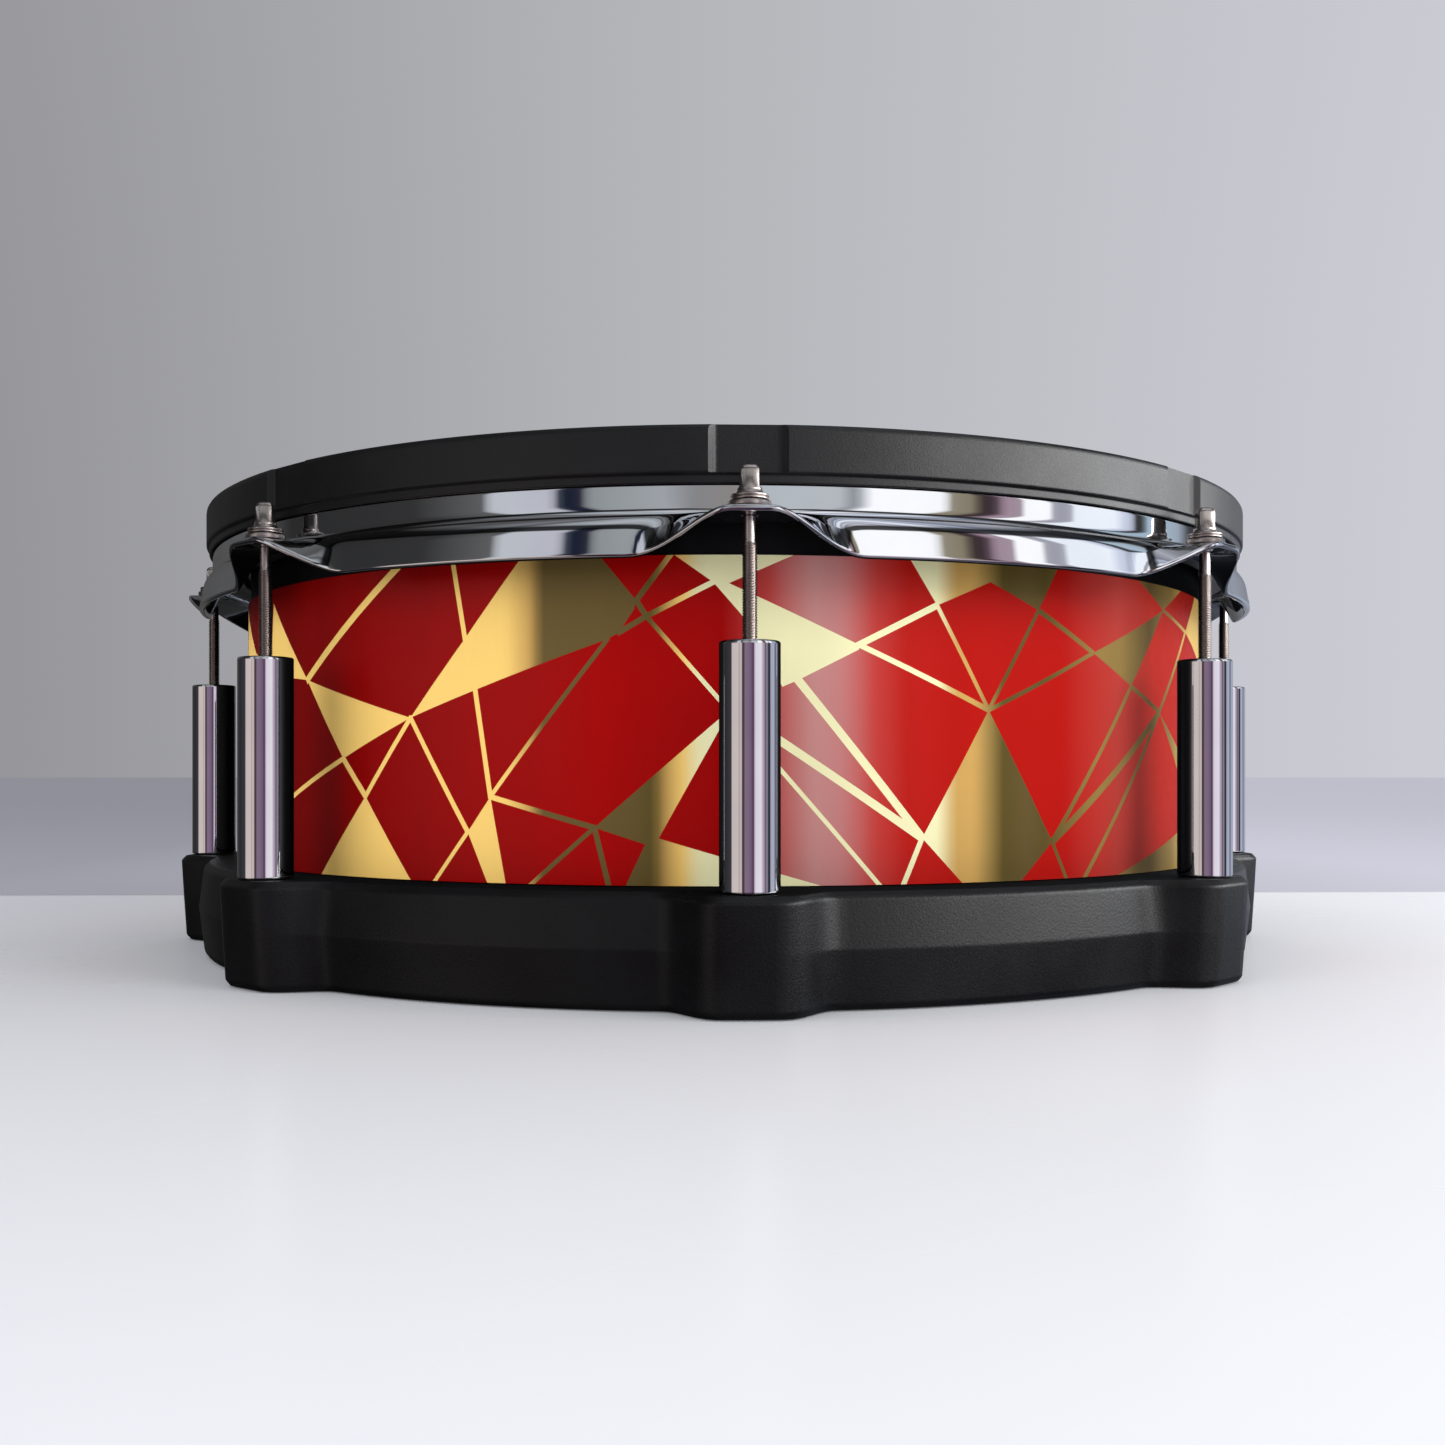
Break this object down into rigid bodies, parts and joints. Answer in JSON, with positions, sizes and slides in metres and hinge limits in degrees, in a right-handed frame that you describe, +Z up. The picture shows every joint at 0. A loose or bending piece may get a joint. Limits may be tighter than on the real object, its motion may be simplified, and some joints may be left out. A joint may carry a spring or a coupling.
{
  "type": "snare drum pad",
  "caption": "Round snare drum pad: moulded lobed base, wrapped shell, chromed lug tubes and rods, steel hoop with rubber cover, mesh head.",
  "frame": {"origin": "centre of the base frame's underside, where the drum rests", "axes": "+Z up along the shell's axis; -Y towards one lug, the front of the drum; the jack is at the back, +Y"},
  "size_m": [0.4072, 0.4072, 0.152],
  "materials": {
    "base_plastic": "matte, fine moulded texture",
    "shell_black": "satin",
    "shell_wrap": "gloss printed film, red with metallic gold lines",
    "chrome": "polished",
    "rod_steel": "satin nickel, slightly worn",
    "steel": "zinc plated",
    "brass": "satin",
    "rubber": "matte",
    "head_mesh": "woven mesh",
    "foam": "open-cell foam",
    "lead_jacket": "satin"
  },
  "bodies": {
    "pad_body": {"base_frame": "base_plastic", "shell": "shell_black", "shell_wrap": "shell_wrap", "mesh_head": "head_mesh", "sensor_bridge": "steel", "bridge_screw_1": "steel", "bridge_screw_2": "steel", "sensor_cushion": "foam", "head_piezo": "brass", "sensor_cone": "foam", "rim_piezo": "brass", "head_sensor_lead": "lead_jacket", "rim_sensor_lead": "lead_jacket", "output_jack": "shell_black", "jack_nut": "steel", "lug_tube_1": "chrome", "rod_insert_1": "brass", "lug_screw_1": "steel", "lug_tube_2": "chrome", "rod_insert_2": "brass", "lug_screw_2": "steel", "lug_tube_3": "chrome", "rod_insert_3": "brass", "lug_screw_3": "steel", "lug_tube_4": "chrome", "rod_insert_4": "brass", "lug_screw_4": "steel", "lug_tube_5": "chrome", "rod_insert_5": "brass", "lug_screw_5": "steel", "lug_tube_6": "chrome", "rod_insert_6": "brass", "lug_screw_6": "steel", "lug_tube_7": "chrome", "rod_insert_7": "brass", "lug_screw_7": "steel", "lug_tube_8": "chrome", "rod_insert_8": "brass", "lug_screw_8": "steel"},
    "hoop_assembly": {"hoop": "chrome", "hoop_cover": "rubber", "head_flesh_hoop": "steel", "rod_washer_1": "rod_steel", "rod_washer_2": "rod_steel", "rod_washer_3": "rod_steel", "rod_washer_4": "rod_steel", "rod_washer_5": "rod_steel", "rod_washer_6": "rod_steel", "rod_washer_7": "rod_steel", "rod_washer_8": "rod_steel"},
    "rod_1": {"tension_rod_1": "rod_steel"},
    "rod_2": {"tension_rod_2": "rod_steel"},
    "rod_3": {"tension_rod_3": "rod_steel"},
    "rod_4": {"tension_rod_4": "rod_steel"},
    "rod_5": {"tension_rod_5": "rod_steel"},
    "rod_6": {"tension_rod_6": "rod_steel"},
    "rod_7": {"tension_rod_7": "rod_steel"},
    "rod_8": {"tension_rod_8": "rod_steel"}
  },
  "joints": [
    {"name": "hoop_travel", "type": "slide", "parent": "pad_body", "child": "hoop_assembly", "axis": [0, 0, 1], "range_m": [-0.002, 0.003]},
    {"name": "rod_turn_1", "type": "hinge", "parent": "hoop_assembly", "child": "rod_1", "pos_m": [0, -0.194, 0.1287], "axis": [0, 0, 1], "range_deg": [-1034, 1548]},
    {"name": "rod_turn_2", "type": "hinge", "parent": "hoop_assembly", "child": "rod_2", "pos_m": [0.13718, -0.13718, 0.1287], "axis": [0, 0, 1], "range_deg": [-1034, 1548]},
    {"name": "rod_turn_3", "type": "hinge", "parent": "hoop_assembly", "child": "rod_3", "pos_m": [0.194, 0, 0.1287], "axis": [0, 0, 1], "range_deg": [-1034, 1548]},
    {"name": "rod_turn_4", "type": "hinge", "parent": "hoop_assembly", "child": "rod_4", "pos_m": [0.13718, 0.13718, 0.1287], "axis": [0, 0, 1], "range_deg": [-1034, 1548]},
    {"name": "rod_turn_5", "type": "hinge", "parent": "hoop_assembly", "child": "rod_5", "pos_m": [0, 0.194, 0.1287], "axis": [0, 0, 1], "range_deg": [-1034, 1548]},
    {"name": "rod_turn_6", "type": "hinge", "parent": "hoop_assembly", "child": "rod_6", "pos_m": [-0.13718, 0.13718, 0.1287], "axis": [0, 0, 1], "range_deg": [-1034, 1548]},
    {"name": "rod_turn_7", "type": "hinge", "parent": "hoop_assembly", "child": "rod_7", "pos_m": [-0.194, 0, 0.1287], "axis": [0, 0, 1], "range_deg": [-1034, 1548]},
    {"name": "rod_turn_8", "type": "hinge", "parent": "hoop_assembly", "child": "rod_8", "pos_m": [-0.13718, -0.13718, 0.1287], "axis": [0, 0, 1], "range_deg": [-1034, 1548]}
  ],
  "couplings": [
    {"joint": "rod_turn_1", "follows": "hoop_travel", "rad_per_m": 8976},
    {"joint": "rod_turn_2", "follows": "hoop_travel", "rad_per_m": 8976},
    {"joint": "rod_turn_3", "follows": "hoop_travel", "rad_per_m": 8976},
    {"joint": "rod_turn_4", "follows": "hoop_travel", "rad_per_m": 8976},
    {"joint": "rod_turn_5", "follows": "hoop_travel", "rad_per_m": 8976},
    {"joint": "rod_turn_6", "follows": "hoop_travel", "rad_per_m": 8976},
    {"joint": "rod_turn_7", "follows": "hoop_travel", "rad_per_m": 8976},
    {"joint": "rod_turn_8", "follows": "hoop_travel", "rad_per_m": 8976}
  ]
}
